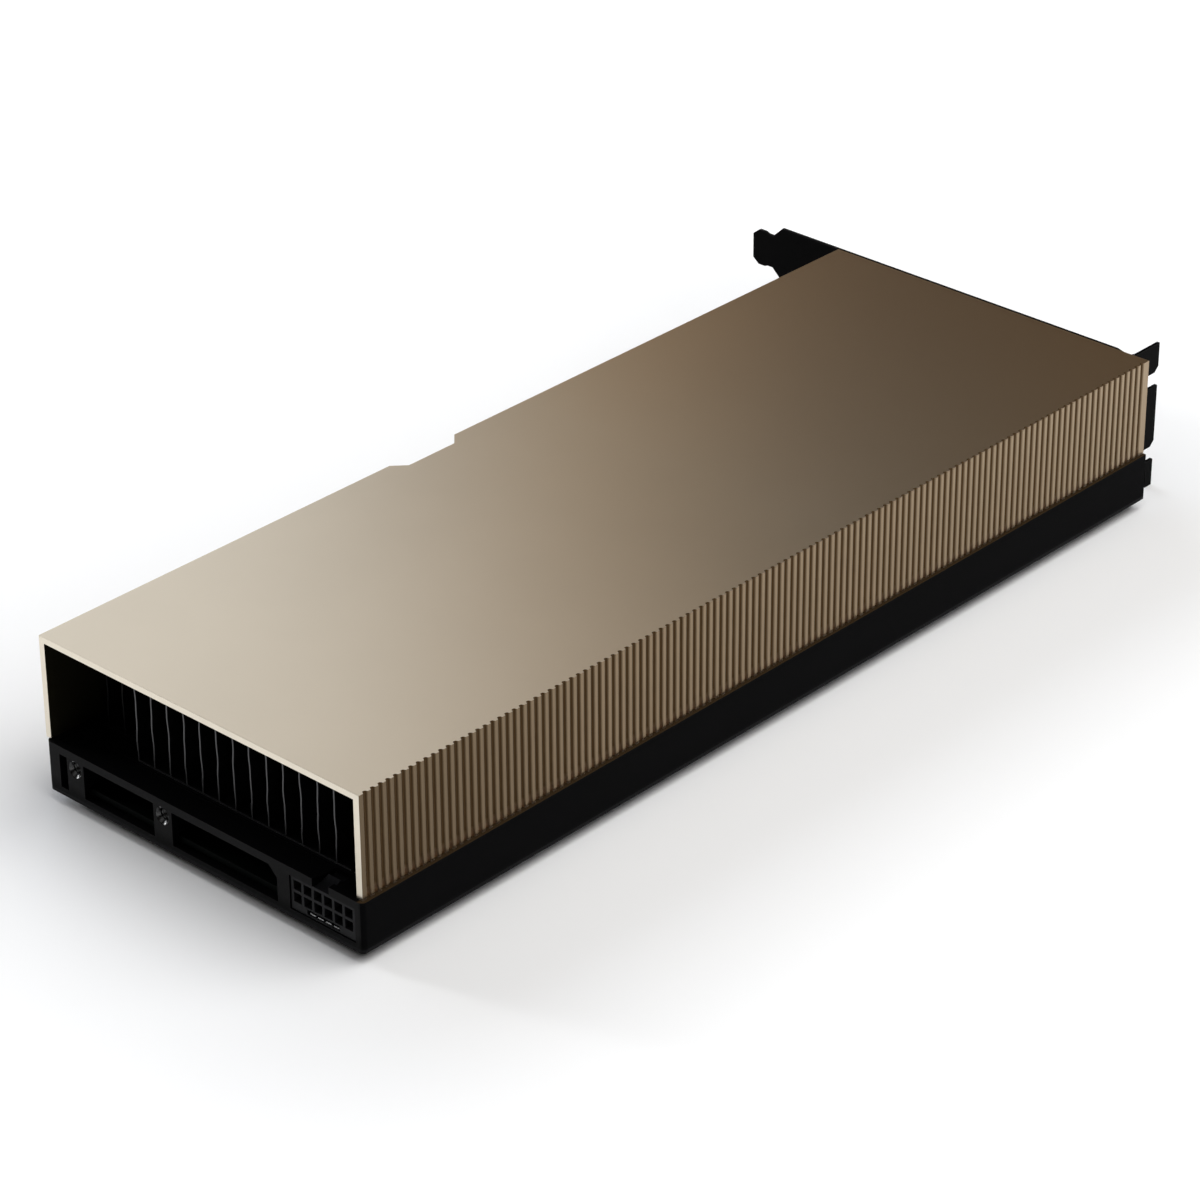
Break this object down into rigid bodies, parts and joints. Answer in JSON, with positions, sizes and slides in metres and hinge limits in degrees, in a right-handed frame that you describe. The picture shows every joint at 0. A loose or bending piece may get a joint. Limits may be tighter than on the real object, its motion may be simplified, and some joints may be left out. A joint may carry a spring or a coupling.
{
  "type": "gpu accelerator module",
  "caption": "Passive two-slot accelerator card: gold finned shroud with ribbed side over a black base, with a power socket, edge connector and slot bracket.",
  "frame": {"origin": "middle of the outline in plan, level with the lowest point, the bracket flange's lower finger", "axes": "+X along the card from the open inlet end to the slot bracket, +Y from the ribbed side to the edge connector, +Z from the back cover up to the shroud's top face"},
  "size_m": [0.2796, 0.1262, 0.04],
  "materials": {
    "champagne_metal": "fine satin anodised, champagne gold",
    "black_frame": "matt black coated casting",
    "black_cover": "matt black coated sheet",
    "black_bracket": "black plated sheet steel",
    "board": "dark solder mask on glass laminate",
    "gold_contact": "gilded contact",
    "fin_metal": "plain rolled sheet",
    "plated_copper": "nickel-plated copper",
    "silicon": "ground silicon",
    "substrate": "laminate substrate",
    "steel_part": "plain steel",
    "black_screw": "black oxide screw",
    "bright_insert": "nickel-plated insert",
    "ferrite": "pressed ferrite",
    "soft_pad": "soft thermal pad",
    "chip": "moulded package",
    "crystal_can": "metal can",
    "socket_plastic": "moulded nylon"
  },
  "bodies": {
    "root": {"shroud": "champagne_metal", "shroud_screws": "black_screw", "base_frame": "black_frame", "threaded_inserts": "bright_insert", "backplate": "black_cover", "backplate_screws": "black_screw", "board_spacers": "steel_part", "circuit_board": "board", "edge_contacts": "gold_contact", "processor_substrate": "substrate", "stiffener_ring": "steel_part", "processor_die": "silicon", "memory_stacks": "silicon", "thermal_interface": "soft_pad", "retention_spring": "steel_part", "spring_pad": "soft_pad", "spring_screws": "black_screw", "heat_sink_base": "plated_copper", "fin_stack": "fin_metal", "power_inductors": "ferrite", "inductor_pads": "soft_pad", "power_stages": "chip", "filter_capacitors": "chip", "controller_chips": "chip", "flash_chip": "chip", "clock_crystal": "crystal_can", "current_shunts": "steel_part", "power_socket": "socket_plastic", "power_contacts": "gold_contact", "signal_contacts": "gold_contact", "slot_bracket": "black_bracket", "bracket_screws": "black_screw"}
  },
  "joints": []
}
